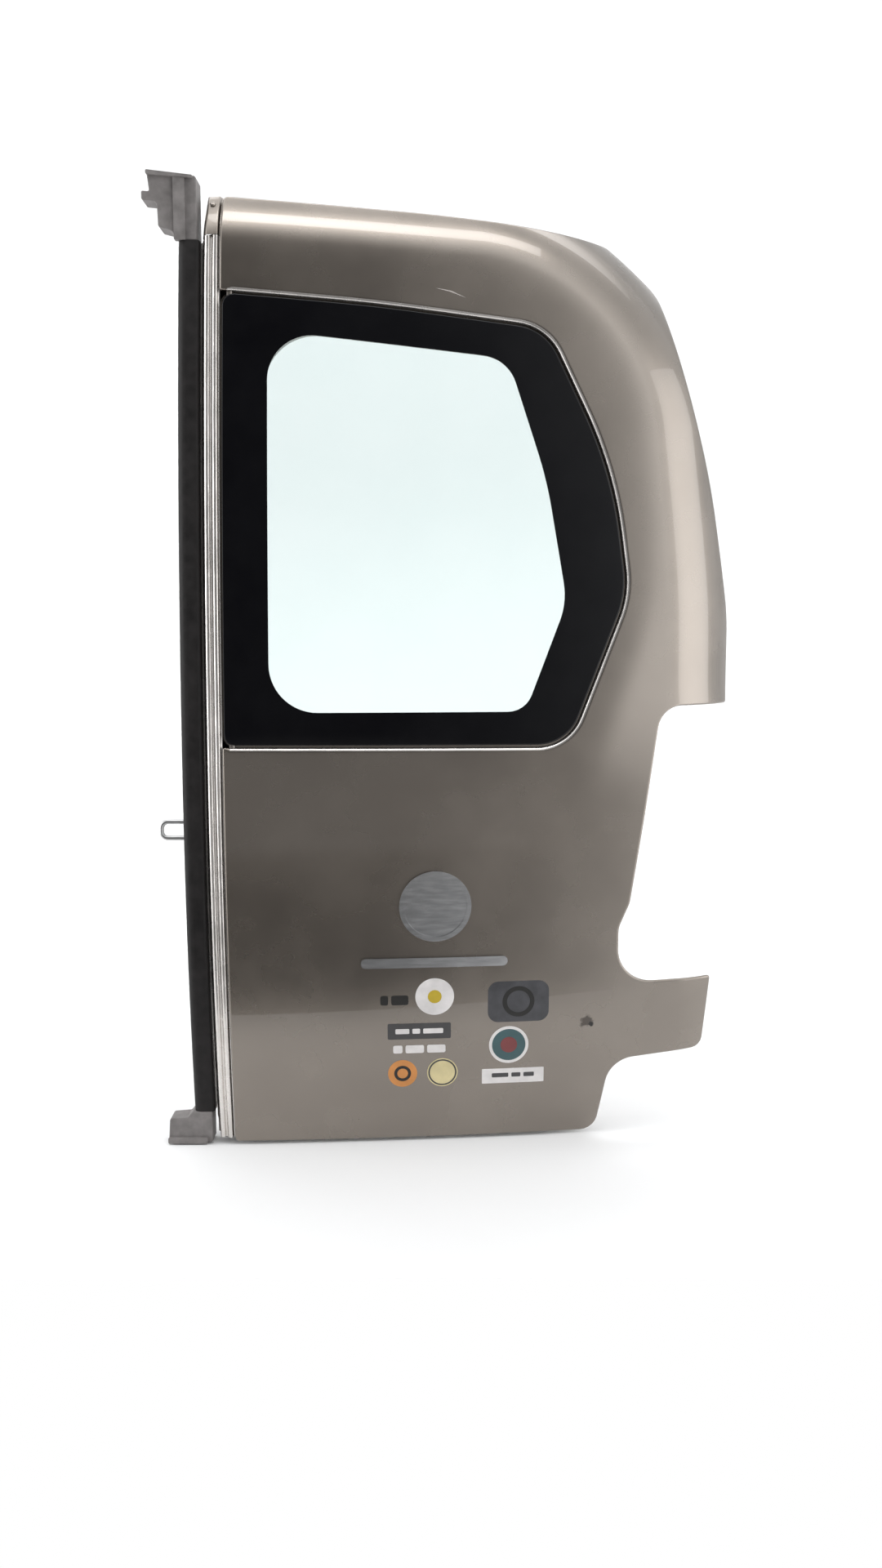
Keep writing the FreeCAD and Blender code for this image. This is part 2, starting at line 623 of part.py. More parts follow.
PIECES = {
    "outer_skin": make_outer_skin,
    "inner_panel": make_inner_panel,
    "window_glass": make_glass,
    "glass_bond": make_bond,
    "edge_channel": make_edge_channel,
    "edge_tongue": make_edge_tongue,
    "centre_seal": make_seal,
    "seal_top_end": make_seal_top_end,
    "seal_bottom_end": make_seal_bottom_end,
    "striker_plate": make_striker_plate,
    "striker_loop": make_striker_loop,
    "upper_hinge_plate": lambda: make_hinge_plate(HINGE_UPPER_Z),
    "lower_hinge_plate": lambda: make_hinge_plate(HINGE_LOWER_Z),
    "trim_panel": make_trim_panel,
    "trim_clips": make_trim_clips,
    "top_latch_body": lambda: make_latch_body(UPPER_LATCH_Z, True),
    "top_latch_bolt": lambda: make_latch_bolt(UPPER_LATCH_Z, True),
    "bottom_latch_body": lambda: make_latch_body(LOWER_LATCH_Z, False),
    "bottom_latch_bolt": lambda: make_latch_bolt(LOWER_LATCH_Z, False),
    "lever_bezel": make_lever_bezel,
    "release_lever": make_release_lever,
    "blanking_plugs": make_plugs,
    "stop_buffers": make_buffers,
    "badge_disc": make_badge_disc,
    "badge_strip": make_badge_strip,
}


def main():
    origin = Vector(PAN_RIGHT + HINGE_SHEET, hinge_depth(HINGE_UPPER_Z), HINGE_UPPER_Z)
    os.makedirs("parts", exist_ok=True)
    for name, make in PIECES.items():
        shape = make()
        shape.translate(-origin)
        shape.exportStep("parts/" + name + ".step")


main()
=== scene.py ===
"""Dressed van rear door: smooth painted skin, tinted glass with printed border, rubber, metal and trim.

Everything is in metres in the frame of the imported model. Door coordinates (x from the skin's left edge,
depth into the van, z from its bottom edge) are moved by ORIGIN into that frame.
"""
import json
import math

import bpy
import numpy as np
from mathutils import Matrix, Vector
from mathutils.geometry import delaunay_2d_cdt


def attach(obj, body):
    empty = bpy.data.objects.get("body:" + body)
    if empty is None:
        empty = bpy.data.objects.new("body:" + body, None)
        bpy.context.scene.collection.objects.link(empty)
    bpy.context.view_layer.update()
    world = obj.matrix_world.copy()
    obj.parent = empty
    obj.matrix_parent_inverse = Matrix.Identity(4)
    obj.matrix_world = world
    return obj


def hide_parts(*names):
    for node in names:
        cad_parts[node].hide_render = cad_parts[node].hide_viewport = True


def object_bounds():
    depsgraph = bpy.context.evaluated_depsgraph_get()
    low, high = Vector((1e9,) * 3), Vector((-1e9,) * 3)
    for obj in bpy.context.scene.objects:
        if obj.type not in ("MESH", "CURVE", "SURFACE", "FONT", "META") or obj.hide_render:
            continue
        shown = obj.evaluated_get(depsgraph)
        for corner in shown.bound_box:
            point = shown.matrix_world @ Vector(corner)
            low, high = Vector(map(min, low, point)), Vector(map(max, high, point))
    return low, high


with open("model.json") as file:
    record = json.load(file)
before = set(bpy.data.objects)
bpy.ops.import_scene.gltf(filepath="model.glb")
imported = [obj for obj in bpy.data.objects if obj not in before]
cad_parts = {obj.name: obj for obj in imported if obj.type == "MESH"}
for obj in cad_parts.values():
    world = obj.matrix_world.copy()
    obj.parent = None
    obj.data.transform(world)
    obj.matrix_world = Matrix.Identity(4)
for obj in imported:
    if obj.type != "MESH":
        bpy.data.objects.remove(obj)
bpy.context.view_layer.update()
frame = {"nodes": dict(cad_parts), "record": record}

MM = 0.001
BODY = "root"

# The skin's form, the same as the solid's
DOOR_HEIGHT = 1.208
DOOR_WIDTH = 0.653
TOP_SLOPE = 0.055
TOP_CURVE = 17.0
WAIST_HEIGHT = 0.445
RADIUS_ABOVE_WAIST = 4.3
RADIUS_BELOW_WAIST = 2.45
CROWN_RADIUS = 4.4
CROWN_CENTRE = -0.155
SHOULDER_RIGHT = 0.560
SHOULDER_TOP = 1.148
SHOULDER_TOP_SLOPE = -0.056
SHOULDER_LEAN = 0.107
SHOULDER_LEAN_FROM = 0.713
SHOULDER_LEAN_SOFTNESS = 0.060
SHOULDER_CORNER_RADIUS = 0.190
SHOULDER_LOW_SHIFT = 0.025
SHOULDER_LOW_FADE = (0.350, 0.560)
CREASE_SLOPE = math.tan(math.radians(9.0))
CREASE_SOFTNESS = 0.018
CREASE_FADE = (0.420, 0.620)
DIAGONAL_DIRECTION = (0.93, -0.368)
DIAGONAL_SOFTNESS = 0.030
ROLL_RADIUS = 0.122
ROLL_ANGLE = math.radians(64.0)

# Sheet, hem and window recess
SHEET = 1.2 * MM
HEM_WIDTH = 12 * MM
HEM_BACK = 3.8 * MM
HEM_CORNER = 0.8 * MM
EDGE_RADIUS = 2.6 * MM
EDGE_LAND = 1.0 * MM
EDGE_FADE = 8 * MM
ROLL_DEGREES = (0, 15, 30, 45, 60, 75, 90)
RECESS_EDGE_RADIUS = 5.5 * MM
# Reach of the lighter paint, a painted highlight, on the recess's rolled edge, and where it starts from the
# left edge
RECESS_HIGHLIGHT_REACH = 4.3 * MM
RECESS_HIGHLIGHT_FROM = 6 * MM
RECESS_FLOOR = 7.5 * MM
RECESS_LEFT = 0.4 * MM
BAY_CORNER_RADIUS = 3 * MM
GLASS_GAP = 3 * MM
GLASS_FRONT = 1.0 * MM
GLASS_BACK = 4.5 * MM
GLASS_EDGE = 1.0 * MM
APERTURE_MARGIN = 2 * MM

# Mesh steps and the reach within which a point counts as lying on a line
FIELD_STEP = 6 * MM
BACK_STEP = 15 * MM
GLASS_STEP = 10 * MM
REACH = 1.0 * MM

# Frame origin: the mounting face of the upper hinge plate
HINGE_X = 0.466
HINGE_Z = 0.760
HINGE_BEHIND_SKIN = 0.034

# Decals on the lower panel: film thickness, point spacing and mesh step, the same for the small forms on
# them, the two columns and the gap between bars
FILM = 0.12 * MM
FILM_SPACING = 2.5 * MM
FILM_STEP = 7 * MM
DETAIL_SPACING = 2 * MM
DETAIL_STEP = 5 * MM
LEFT_COLUMN = 0.243
RIGHT_COLUMN = 0.372
BAR_GAP = 4 * MM

# Fasteners and sealing; heads are (radius, height)
PAN_DEPTH = 62 * MM
PAN_LEFT = -26 * MM
LATCH_X = 10 * MM
LATCH_RISE = 24 * MM
LATCH_HEIGHTS = (1.108, 0.066)
LATCH_SCREWS = ((-13 * MM, 26 * MM), (13 * MM, -26 * MM))
LATCH_HEAD = (4.5 * MM, 2.4 * MM)
LEVER_Z = 0.640
LEVER_BEZEL_RISE = 8 * MM
LEVER_SCREW_REACH = 60 * MM
LEVER_HEAD = (3.0 * MM, 1.6 * MM)
STRIKER_Z = 0.416
STRIKER_BEHIND_SKIN = 41 * MM
STRIKER_SHEET = 3 * MM
STRIKER_SCREW_REACH = 20.5 * MM
STRIKER_HEAD = (5.0 * MM, 2.0 * MM)
TONGUE_PLUG = (-0.0115, 1.194)
TONGUE_PLUG_BEHIND_SKIN = 0.8 * MM
TONGUE_PLUG_HEAD = (3.6 * MM, 1.8 * MM)
FLANGE_BACK = 2.4 * MM

# Studio: a pale sweep whose floor ends a little way in front of the door, so that only that strip shines
# in the paint; lights as name, place, target, size, power and spread in degrees
FLOOR_FRONT = -0.40
FLOOR_GAP = 2 * MM
SWEEP_BACK = 1.4
SWEEP_BEND = 1.2
SWEEP_HEIGHT = 6.0
SWEEP_HALF_WIDTH = 7.0
LIGHTS = [
    ("strip_above", (-0.2, -0.45, 2.0), (-0.2, 0.0, 0.4), (1.7, 0.35), 2, 90),
    ("softbox_right", (2.3, -0.5, 0.1), (0.0, 0.0, 0.1), (1.5, 3.2), 12, 120),
    ("softbox_left", (-2.3, -0.35, 0.3), (-0.4, 0.0, 0.1), (1.2, 2.2), 9, 120),
    ("backdrop_wash", (0.0, 0.9, 3.2), (0.0, 2.6, -0.4), (5.0, 1.0), 34, 110)]

# Dome: brightness by the cosine from its dark middle, with heights counted by a share, so that the dark
# cone is taller than wide; brightness of the pale band near the ground by height, where 0.5 is level
DOME_STRENGTH = 1.6
DOME_DARK_MIDDLE = (-0.206, -0.979, 0.0)
DOME_HEIGHT_SHARE = 0.5
DOME_SHADES = [
    (0.0, 0.60), (0.40, 0.95), (0.55, 1.15), (0.66, 1.02),
    (0.74, 0.70), (0.80, 0.38), (0.86, 0.20), (0.95, 0.06)]
GROUND_SHADES = [(0.0, 0.06), (0.27, 0.07), (0.30, 0.27), (0.43, 0.27), (0.47, 0.0)]
GROUND_HEIGHTS = (-0.5, 0.5)
PLAIN_SHADE = 0.625

# Camera, from the photo's perspective, in door coordinates
CAMERA_PLACE = (0.27115, -1.61, 0.67791)
CAMERA_PITCH = math.radians(83.0)
FOCAL_LENGTH_PIXELS = 1598.0
PHOTO_LONG_SIDE_PIXELS = 1920.0
SENSOR = 36.0


def soft_positive(value, width):
    """The value where it is positive and 0 where it is negative, blended over a width."""
    return 0.5 * (value + math.sqrt(value * value + width * width))


def smooth_step(value, low, high):
    """Smooth rise from 0 at low to 1 at high."""
    share = min(1.0, max(0.0, (value - low) / (high - low)))
    return share * share * (3.0 - 2.0 * share)


def base_depth(x, z):
    """Depth of the plain body surface."""
    radius = RADIUS_ABOVE_WAIST if z > WAIST_HEIGHT else RADIUS_BELOW_WAIST
    barrel = (z - WAIST_HEIGHT) ** 2 / (2.0 * radius)
    return barrel + ((x - CROWN_CENTRE) ** 2 - CROWN_CENTRE ** 2) / (2.0 * CROWN_RADIUS)


def shoulder_distance(x, z):
    """Distance outside the shoulder line round the top and the right."""
    lean = SHOULDER_LEAN * soft_positive(z - SHOULDER_LEAN_FROM, SHOULDER_LEAN_SOFTNESS)
    low = SHOULDER_LOW_SHIFT * (1.0 - smooth_step(z, *SHOULDER_LOW_FADE))
    right = x - (SHOULDER_RIGHT - lean + low)
    top = z - (SHOULDER_TOP + SHOULDER_TOP_SLOPE * x)
    r = SHOULDER_CORNER_RADIUS
    if right > -r and top > -r:
        return math.hypot(right + r, top + r) - r
    return max(right, top)


def roll_depth(reach):
    """Depth that the roll adds at a reach outside the shoulder line: an arc, then a straight slope."""
    limit = ROLL_RADIUS * math.sin(ROLL_ANGLE)
    bent = min(max(0.0, reach), limit)
    arc = ROLL_RADIUS - math.sqrt(ROLL_RADIUS ** 2 - bent ** 2)
    return arc + max(0.0, reach - limit) * math.tan(ROLL_ANGLE)


def skin_depth(x, z):
    """Depth of the outer skin."""
    shoulder = shoulder_distance(x, z)
    across, down = DIAGONAL_DIRECTION
    diagonal = (x - SHOULDER_RIGHT) * across + (z - SHOULDER_LEAN_FROM) * down
    outside = diagonal + soft_positive(shoulder - diagonal, DIAGONAL_SOFTNESS)
    crease = CREASE_SLOPE * soft_positive(outside, CREASE_SOFTNESS) * smooth_step(z, *CREASE_FADE)
    return base_depth(x, z) + crease + roll_depth(shoulder)


ORIGIN = Vector((HINGE_X, base_depth(HINGE_X - 4 * MM, HINGE_Z) + HINGE_BEHIND_SKIN, HINGE_Z))


def inward(depth, x, z):
    """Unit normal of a surface depth(x, z), pointing into the van."""
    step = 0.5 * MM
    slope_x = (depth(x + step, z) - depth(x - step, z)) / (2 * step)
    slope_z = (depth(x, z + step) - depth(x, z - step)) / (2 * step)
    return Vector((-slope_x, 1.0, -slope_z)).normalized()


def on_skin(x, z, behind=0.0, depth=skin_depth):
    """Point at a distance behind the outer skin, or behind another surface, in the frame."""
    return Vector((x, depth(x, z), z)) + inward(depth, x, z) * behind - ORIGIN


# Outlines seen from behind the van: corners (x, z, radius) joined by straight lines

def top_edge(x):
    """Height of the skin's top edge."""
    return DOOR_HEIGHT - TOP_SLOPE * x - x * x / TOP_CURVE


GLASS_CORNERS = [
    (0.002, 0.528, 0.012), (0.003, 1.081, 0.014), (0.190, 1.067, 2.5), (0.402, 1.043, 0.062),
    (0.486, 0.868, 0.5), (0.506, 0.716, 0.120), (0.432, 0.526, 0.055)]
CLEAR_CORNERS = [
    (0.058, 0.568, 0.060), (0.058, 1.036, 0.055), (0.355, 1.006, 0.048), (0.404, 0.856, 0.5),
    (0.430, 0.705, 0.090), (0.378, 0.568, 0.032)]
DOOR_CORNERS = [
    (0.0, top_edge(0.0), 0.006), (0.260, top_edge(0.260), 1.5), (0.488, top_edge(0.488), 0.020),
    (0.556, 1.106, 0.060), (0.625, 0.860, 0.9), (DOOR_WIDTH, 0.690, 0.3), (DOOR_WIDTH, 0.573, 0.004),
    (0.555, 0.573, 0.032), (0.517, 0.318, 0.030), (0.503, 0.285, 0.030), (0.503, 0.210, 0.046),
    (0.631, 0.213, 0.004), (0.622, 0.113, 0.016), (0.497, 0.101, 0.040), (0.478, 0.0, 0.024),
    (0.0, 0.0, 0.005)]


def grown_corners(corners, distance):
    """Corners of the outline moved outward by distance; the outlines run clockwise."""
    count = len(corners)
    lines = []
    for i in range(count):
        a = Vector(corners[i][:2])
        b = Vector(corners[(i + 1) % count][:2])
        along = (b - a).normalized()
        out = Vector((-along.y, along.x))
        lines.append((a + out * distance, along))
    grown = []
    for i in range(count):
        (p, u), (q, v) = lines[i - 1], lines[i]
        cross = u.x * v.y - u.y * v.x
        t = ((q.x - p.x) * v.y - (q.y - p.y) * v.x) / cross
        point = p + u * t
        grown.append((point.x, point.y, corners[i][2] + distance))
    return grown


def outline(corners, spacing=6 * MM):
    """Evenly sampled closed outline of straight lines with rounded corners."""
    count = len(corners)
    path = []
    for i, (x, z, radius) in enumerate(corners):
        here = Vector((x, z))
        before = (Vector(corners[i - 1][:2]) - here).normalized()
        after = (Vector(corners[(i + 1) % count][:2]) - here).normalized()
        half = before.angle(after) / 2.0
        cut = radius / math.tan(half)
        centre = here + (before + after).normalized() * (radius / math.sin(half))
        start = here + before * cut - centre
        turn = start.angle_signed(here + after * cut - centre)
        steps = max(4, int(abs(turn) * radius / spacing))
        for k in range(steps + 1):
            angle = -turn * k / steps
            path.append((centre.x + start.x * math.cos(angle) - start.y * math.sin(angle),
                         centre.y + start.x * math.sin(angle) + start.y * math.cos(angle)))
    full = []
    for i, (x, z) in enumerate(path):
        x2, z2 = path[(i + 1) % len(path)]
        pieces = max(1, int(math.hypot(x2 - x, z2 - z) / spacing))
        full += [(x + (x2 - x) * k / pieces, z + (z2 - z) * k / pieces) for k in range(pieces)]
    full = np.array(full)
    return np.round(full[np.linalg.norm(full - np.roll(full, 1, axis=0), axis=1) > 0.3 * MM], 5)


def inset_loop(loop, distance):
    """Loop moved inward by one distance, or by one for each point; points that a tight corner would fold
    over slide to the nearest good one."""
    distance = np.broadcast_to(distance, len(loop))
    ahead = np.roll(loop, -1, axis=0) - np.roll(loop, 1, axis=0)
    ahead /= np.linalg.norm(ahead, axis=1)[:, None]
    moved = loop + np.stack([ahead[:, 1], -ahead[:, 0]], axis=1) * distance[:, None]
    gaps = np.linalg.norm(moved[:, None, :] - loop[None, :, :], axis=2).min(axis=1)
    fits = gaps > distance - 0.25 * MM
    good = np.nonzero(fits)[0]
    count = len(loop)
    for i in range(count):
        if not fits[i]:
            away = np.abs(good - i)
            moved[i] = moved[good[np.argmin(np.minimum(away, count - away))]]
    return np.round(moved, 5)


def inside(points, loop):
    """Which of the points lie inside the closed loop."""
    result = np.zeros(len(points), bool)
    x, z = points[:, 0], points[:, 1]
    for (x1, z1), (x2, z2) in zip(loop, np.roll(loop, -1, axis=0)):
        if z1 != z2:
            crosses = ((z1 > z) != (z2 > z)) & (x < (x2 - x1) * (z - z1) / (z2 - z1) + x1)
            result ^= crosses
    return result


def fill(loops, step):
    """Triangles between an outer loop and any inner ones, on a staggered grid of the given step."""
    loops = [loop[np.linalg.norm(loop - np.roll(loop, 1, axis=0), axis=1) > 0.05 * MM] for loop in loops]
    outer = loops[0]
    (x0, z0), (x1, z1) = outer.min(axis=0), outer.max(axis=0)
    grid = [(x + (row % 2) * step / 2, z) for row, z in enumerate(np.arange(z0, z1, step * 0.87))
            for x in np.arange(x0, x1, step)]
    grid = np.array(grid)
    keep = inside(grid, outer)
    for hole in loops[1:]:
        keep &= ~inside(grid, hole)
    grid = grid[keep]
    border = np.concatenate(loops)
    squared_gap = np.array([np.min(np.sum((border - p) ** 2, axis=1)) for p in grid])
    grid = grid[squared_gap > (0.55 * step) ** 2]
    edges, base = [], 0
    for loop in loops:
        edges += [(base + i, base + (i + 1) % len(loop)) for i in range(len(loop))]
        base += len(loop)
    points = np.concatenate([border, grid])
    verts, _, faces = delaunay_2d_cdt([Vector(p) for p in points], edges, [], 0, 1e-7, False)[:3]
    verts = np.array([tuple(v) for v in verts])
    middles = np.array([verts[list(f)].mean(axis=0) for f in faces])
    keep = inside(middles, outer)
    for hole in loops[1:]:
        keep &= ~inside(middles, hole)
    return verts, [tuple(f) for f, k in zip(faces, keep) if k]


def add_object(name, verts, faces, material):
    """Smooth mesh object that rides on the door."""
    mesh = bpy.data.meshes.new(name)
    mesh.from_pydata([tuple(v) for v in verts], [], faces)
    for polygon in mesh.polygons:
        polygon.use_smooth = True
    mesh.materials.append(material)
    obj = bpy.data.objects.new(name, mesh)
    bpy.context.collection.objects.link(obj)
    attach(obj, BODY)
    return obj


def face_places(obj):
    """Door coordinates x and z of the middle of each face."""
    return np.array([(p.center.x + ORIGIN.x, p.center.z + ORIGIN.z) for p in obj.data.polygons])


class Surface:
    """Collects sheets and edge strips that follow the skin into one mesh."""

    def __init__(self):
        self.verts = []
        self.faces = []
        self.index = {}
        self.normals = {}

    def point(self, x, z, behind):
        """Index of the point at a distance behind the skin; equal points are shared."""
        key = (round(x * 1e5), round(z * 1e5), round(behind * 1e6))
        if key not in self.index:
            self.index[key] = len(self.verts)
            self.verts.append(on_skin(x, z, behind))
        return self.index[key]

    def sheet(self, loops, behind, step, facing_out=True):
        """Filled area between an outer loop and any inner ones, at one distance behind the skin."""
        verts, faces = fill(loops, step)
        ids = [self.point(x, z, behind) for x, z in verts]
        for i, (x, z) in zip(ids, verts):
            self.normals[i] = inward(skin_depth, x, z) * (-1.0 if facing_out else 1.0)
        for face in faces:
            order = [ids[i] for i in face]
            self.add(order if facing_out else order[::-1])

    def strip(self, loop_a, behind_a, loop_b, behind_b):
        """Band between two loops with matching points, each at one depth or at one for each point."""
        count = len(loop_a)
        a = [self.point(x, z, d) for (x, z), d in zip(loop_a, np.broadcast_to(behind_a, count))]
        b = [self.point(x, z, d) for (x, z), d in zip(loop_b, np.broadcast_to(behind_b, count))]
        for i in range(count):
            j = (i + 1) % count
            self.add([a[i], a[j], b[j], b[i]])

    def add(self, ids):
        """Face without its repeated points, unless nothing is left of it."""
        ids = [v for k, v in enumerate(ids) if v != ids[k - 1]]
        if len(set(ids)) > 2:
            self.faces.append(tuple(ids))

    def build(self, name, material):
        """Mesh object whose sheets are shaded with the skin's true normals."""
        obj = add_object(name, self.verts, self.faces, material)
        normals = [self.normals.get(i, vertex.normal) for i, vertex in enumerate(obj.data.vertices)]
        obj.data.normals_split_custom_set_from_vertices(normals)
        return obj


# Materials

def new_material(name, color, roughness, metallic=0.0, **sockets):
    """Principled material; returns it with its shader node."""
    material = bpy.data.materials.new(name)
    material.use_nodes = True
    shader = material.node_tree.nodes["Principled BSDF"]
    shader.inputs["Base Color"].default_value = (*color, 1.0)
    shader.inputs["Roughness"].default_value = roughness
    shader.inputs["Metallic"].default_value = metallic
    for socket, value in sockets.items():
        shader.inputs[socket.replace("_", " ")].default_value = value
    return material, shader


def noise(material, scale, detail=4.0, roughness=0.55, stretch=(1, 1, 1)):
    """Noise factor in the frame's own coordinates."""
    nodes, links = material.node_tree.nodes, material.node_tree.links
    coordinates = nodes.new("ShaderNodeTexCoord")
    mapping = nodes.new("ShaderNodeMapping")
    mapping.inputs["Scale"].default_value = stretch
    texture = nodes.new("ShaderNodeTexNoise")
    texture.inputs["Scale"].default_value = scale
    texture.inputs["Detail"].default_value = detail
    texture.inputs["Roughness"].default_value = roughness
    links.new(coordinates.outputs["Object"], mapping.inputs["Vector"])
    links.new(mapping.outputs["Vector"], texture.inputs["Vector"])
    return texture.outputs["Fac"]


def ramp(material, factor, stops):
    """Colour ramp over a factor; stops are (place, colour)."""
    node = material.node_tree.nodes.new("ShaderNodeValToRGB")
    elements = node.color_ramp.elements
    while len(elements) < len(stops):
        elements.new(0.5)
    for element, (place, color) in zip(elements, stops):
        element.position = place
        element.color = (*color, 1.0)
    material.node_tree.links.new(factor, node.inputs["Fac"])
    return node.outputs["Color"]


def span(material, factor, low, high):
    """Noise factor, which mostly lies between 0.3 and 0.7, carried onto low to high."""
    node = material.node_tree.nodes.new("ShaderNodeMapRange")
    node.inputs["From Min"].default_value = 0.3
    node.inputs["From Max"].default_value = 0.7
    node.inputs["To Min"].default_value = low
    node.inputs["To Max"].default_value = high
    material.node_tree.links.new(factor, node.inputs["Value"])
    return node.outputs["Result"]


def bump(material, shader, factor, strength, distance):
    """Fine relief by a factor."""
    node = material.node_tree.nodes.new("ShaderNodeBump")
    node.inputs["Strength"].default_value = strength
    node.inputs["Distance"].default_value = distance
    material.node_tree.links.new(factor, node.inputs["Height"])
    material.node_tree.links.new(node.outputs["Normal"], shader.inputs["Normal"])


def varied(name, dark, light, roughness, metallic=0.0, scale=30.0, stretch=(1, 1, 1), **sockets):
    """Material whose colour and roughness drift between two values."""
    material, shader = new_material(name, light, roughness, metallic, **sockets)
    factor = noise(material, scale, stretch=stretch)
    links = material.node_tree.links
    links.new(ramp(material, factor, [(0.3, dark), (0.7, light)]), shader.inputs["Base Color"])
    links.new(span(material, factor, roughness * 0.85, roughness * 1.15), shader.inputs["Roughness"])
    return material, shader


def near(material, place, radius, ragged):
    """Factor that is 1 at a place in the frame and falls to 0 at a ragged rim."""
    nodes, links = material.node_tree.nodes, material.node_tree.links
    coordinates = nodes.new("ShaderNodeTexCoord")
    away = nodes.new("ShaderNodeVectorMath")
    away.operation = "DISTANCE"
    away.inputs[1].default_value = place
    links.new(coordinates.outputs["Object"], away.inputs[0])
    rough = nodes.new("ShaderNodeMath")
    rough.operation = "MULTIPLY_ADD"
    rough.inputs[1].default_value = ragged
    links.new(noise(material, 160.0, detail=6.0, roughness=0.7), rough.inputs[0])
    links.new(away.outputs["Value"], rough.inputs[2])
    fall = nodes.new("ShaderNodeMapRange")
    fall.inputs["From Min"].default_value = radius + 0.5 * ragged
    fall.inputs["From Max"].default_value = radius * 0.6 + 0.5 * ragged
    links.new(rough.outputs["Value"], fall.inputs["Value"])
    return fall.outputs["Result"]


def stain(material, shader, factor, color):
    """Lay a colour over what the shader's base colour has, by a factor."""
    nodes, links = material.node_tree.nodes, material.node_tree.links
    mix = nodes.new("ShaderNodeMix")
    mix.data_type = "RGBA"
    mix.inputs["B"].default_value = (*color, 1.0)
    base = shader.inputs["Base Color"]
    links.new(base.links[0].from_socket, mix.inputs["A"])
    links.new(factor, mix.inputs["Factor"])
    links.new(mix.outputs["Result"], base)


def paint_material():
    """Warm grey-brown metallic under clear coat, with a dark spot by the lamp tab, darkest in its middle.
    """
    material, shader = varied("paint_grey_brown", (0.216, 0.187, 0.160), (0.250, 0.218, 0.187), 0.27, 0.88,
                              scale=9.0, Coat_Weight=1.0, Coat_Roughness=0.025)
    stain(material, shader, near(material, on_skin(0.463, 0.158), 9 * MM, 20 * MM), (0.070, 0.056, 0.046))
    stain(material, shader, near(material, on_skin(0.469, 0.154), 4 * MM, 6 * MM), (0.008, 0.006, 0.005))
    return material


def painted_highlight_edge_material():
    """Lighter paint of the narrow edges, a painted highlight: round the window and on the beaded channel.
    """
    material, _ = varied("paint_edge_painted_highlight", (0.64, 0.61, 0.58), (0.76, 0.72, 0.69), 0.27, 0.88,
                         scale=30.0, Coat_Weight=1.0, Coat_Roughness=0.05)
    return material


def inner_paint_material():
    """The same paint, duller, on the inner pressing."""
    material, _ = varied("paint_inner", (0.155, 0.136, 0.117), (0.195, 0.172, 0.150), 0.42, 0.45,
                         scale=14.0, Coat_Weight=0.5, Coat_Roughness=0.12)
    return material


def rubber_material(name, dark, light):
    """Matt rubber with a fine grain."""
    material, shader = varied(name, dark, light, 0.55, scale=60.0, Specular_IOR_Level=0.2)
    bump(material, shader, noise(material, 900.0), 0.25, 0.0004)
    return material


def glass_material():
    """Clear glass with a pale green tint."""
    material, _ = varied("glass_tinted", (0.735, 0.825, 0.815), (0.765, 0.845, 0.835), 0.004, scale=6.0,
                         Transmission_Weight=1.0, IOR=1.45, Specular_IOR_Level=0.25)
    return material


def frit_material():
    """Black printed border of the pane, as glossy as the glass."""
    material, _ = varied("glass_border_black", (0.002, 0.002, 0.003), (0.004, 0.004, 0.005), 0.03,
                         scale=20.0, Specular_IOR_Level=0.28)
    return material


def plastic_material(name, dark, light, grain):
    """Grained moulding."""
    material, shader = varied(name, dark, light, 0.55, scale=25.0)
    bump(material, shader, noise(material, grain, detail=2.0), 0.35, 0.0005)
    return material


def steel_material(name, dark, light, roughness):
    """Bare or plated metal, drawn along its length."""
    material, _ = varied(name, dark, light, roughness, 1.0, scale=40.0, stretch=(1, 1, 6))
    return material


PAINT = paint_material()
# Lightened copy of the body paint: a painted highlight on narrow edges
EDGE_HIGHLIGHT_PAINT = painted_highlight_edge_material()
INNER_PAINT = inner_paint_material()
RUBBER = rubber_material("rubber_black", (0.010, 0.009, 0.009), (0.020, 0.018, 0.018))
# Lighter grey rubber of the moulded seal ends
GREY_RUBBER = rubber_material("rubber_grey", (0.150, 0.140, 0.136), (0.230, 0.215, 0.210))
GLASS = glass_material()
FRIT = frit_material()
TRIM = plastic_material("trim_grey", (0.085, 0.085, 0.088), (0.100, 0.100, 0.104), 700.0)
BLACK_PLASTIC = plastic_material("plastic_black", (0.014, 0.014, 0.015), (0.024, 0.024, 0.025), 900.0)
ZINC = steel_material("zinc_plated", (0.56, 0.56, 0.53), (0.70, 0.69, 0.64), 0.38)
STEEL = steel_material("steel_plain", (0.48, 0.48, 0.48), (0.62, 0.62, 0.62), 0.30)
CHROME = steel_material("chrome_bright", (0.62, 0.62, 0.63), (0.70, 0.70, 0.71), 0.2)

SLOT_MATERIALS = {
    "body_paint": PAINT, "inner_paint": INNER_PAINT, "tinted_glass": GLASS, "adhesive": RUBBER,
    "seal_rubber": RUBBER, "zinc_steel": ZINC, "bare_steel": STEEL, "trim_plastic": TRIM,
    "black_plastic": BLACK_PLASTIC, "chrome": CHROME}


def dress_nodes():
    """Give every solid the material of its slot, or the grey rubber or the lightened paint (a painted
    highlight) that some show.
    """
    slots = {part["node"]: part["material_slot"] for part in frame["record"]["subparts"]}
    # The edge channel takes the lightened paint, a painted highlight on its beads
    special = {"seal_top_end": GREY_RUBBER, "seal_bottom_end": GREY_RUBBER, "edge_channel": EDGE_HIGHLIGHT_PAINT}
    for name, obj in frame["nodes"].items():
        obj.data.materials.clear()
        obj.data.materials.append(special.get(name, SLOT_MATERIALS[slots[name]]))


def edge_radius(loop, recess):
    """Radius of the rolled edge at each point: wide round the window, small elsewhere."""
    share = np.clip(loop[:, 0] / EDGE_FADE, 0.0, 1.0) * inside(loop, outline(grown_corners(recess, REACH)))
    return EDGE_RADIUS + (RECESS_EDGE_RADIUS - EDGE_RADIUS) * share


